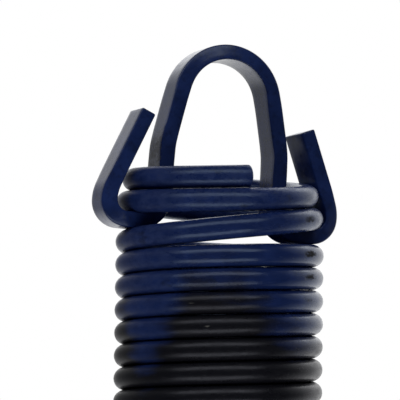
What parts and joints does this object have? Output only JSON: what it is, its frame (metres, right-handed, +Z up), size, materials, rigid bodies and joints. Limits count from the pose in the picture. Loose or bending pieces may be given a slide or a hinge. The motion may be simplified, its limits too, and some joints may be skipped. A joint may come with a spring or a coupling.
{
  "type": "clip-end extension spring",
  "caption": "Close-wound right-hand extension spring of round wire, with a bent flat-bar clip at each end: an arch to hang it by, with arms that hook out between the turns.",
  "frame": {"origin": "on the coil's axis, at the face inside the upper arch that bears on what the spring hangs from", "axes": "+Z up along the coil's axis towards the upper clip's crown; +X across the clips, towards the arm that leaves the coil one turn further down at the upper end; -Y towards the wire's cut ends"},
  "size_m": [0.056, 0.0446, 0.3078],
  "materials": {
    "wire_paint": "satin black enamel on oil-tempered wire, with its ends dipped navy blue",
    "clip_paint": "satin navy blue enamel on steel flat bar, scuffed"
  },
  "bodies": {
    "upper_end": {"upper_clip": "clip_paint", "coil": "wire_paint"},
    "lower_end": {"lower_clip": "clip_paint"}
  },
  "joints": [
    {"name": "spring_stretch", "type": "slide", "parent": "upper_end", "child": "lower_end", "axis": [0, 0, -1], "range_m": [0, 0.17], "stiffness_N_per_m": 1760, "deforming": ["coil"]}
  ]
}
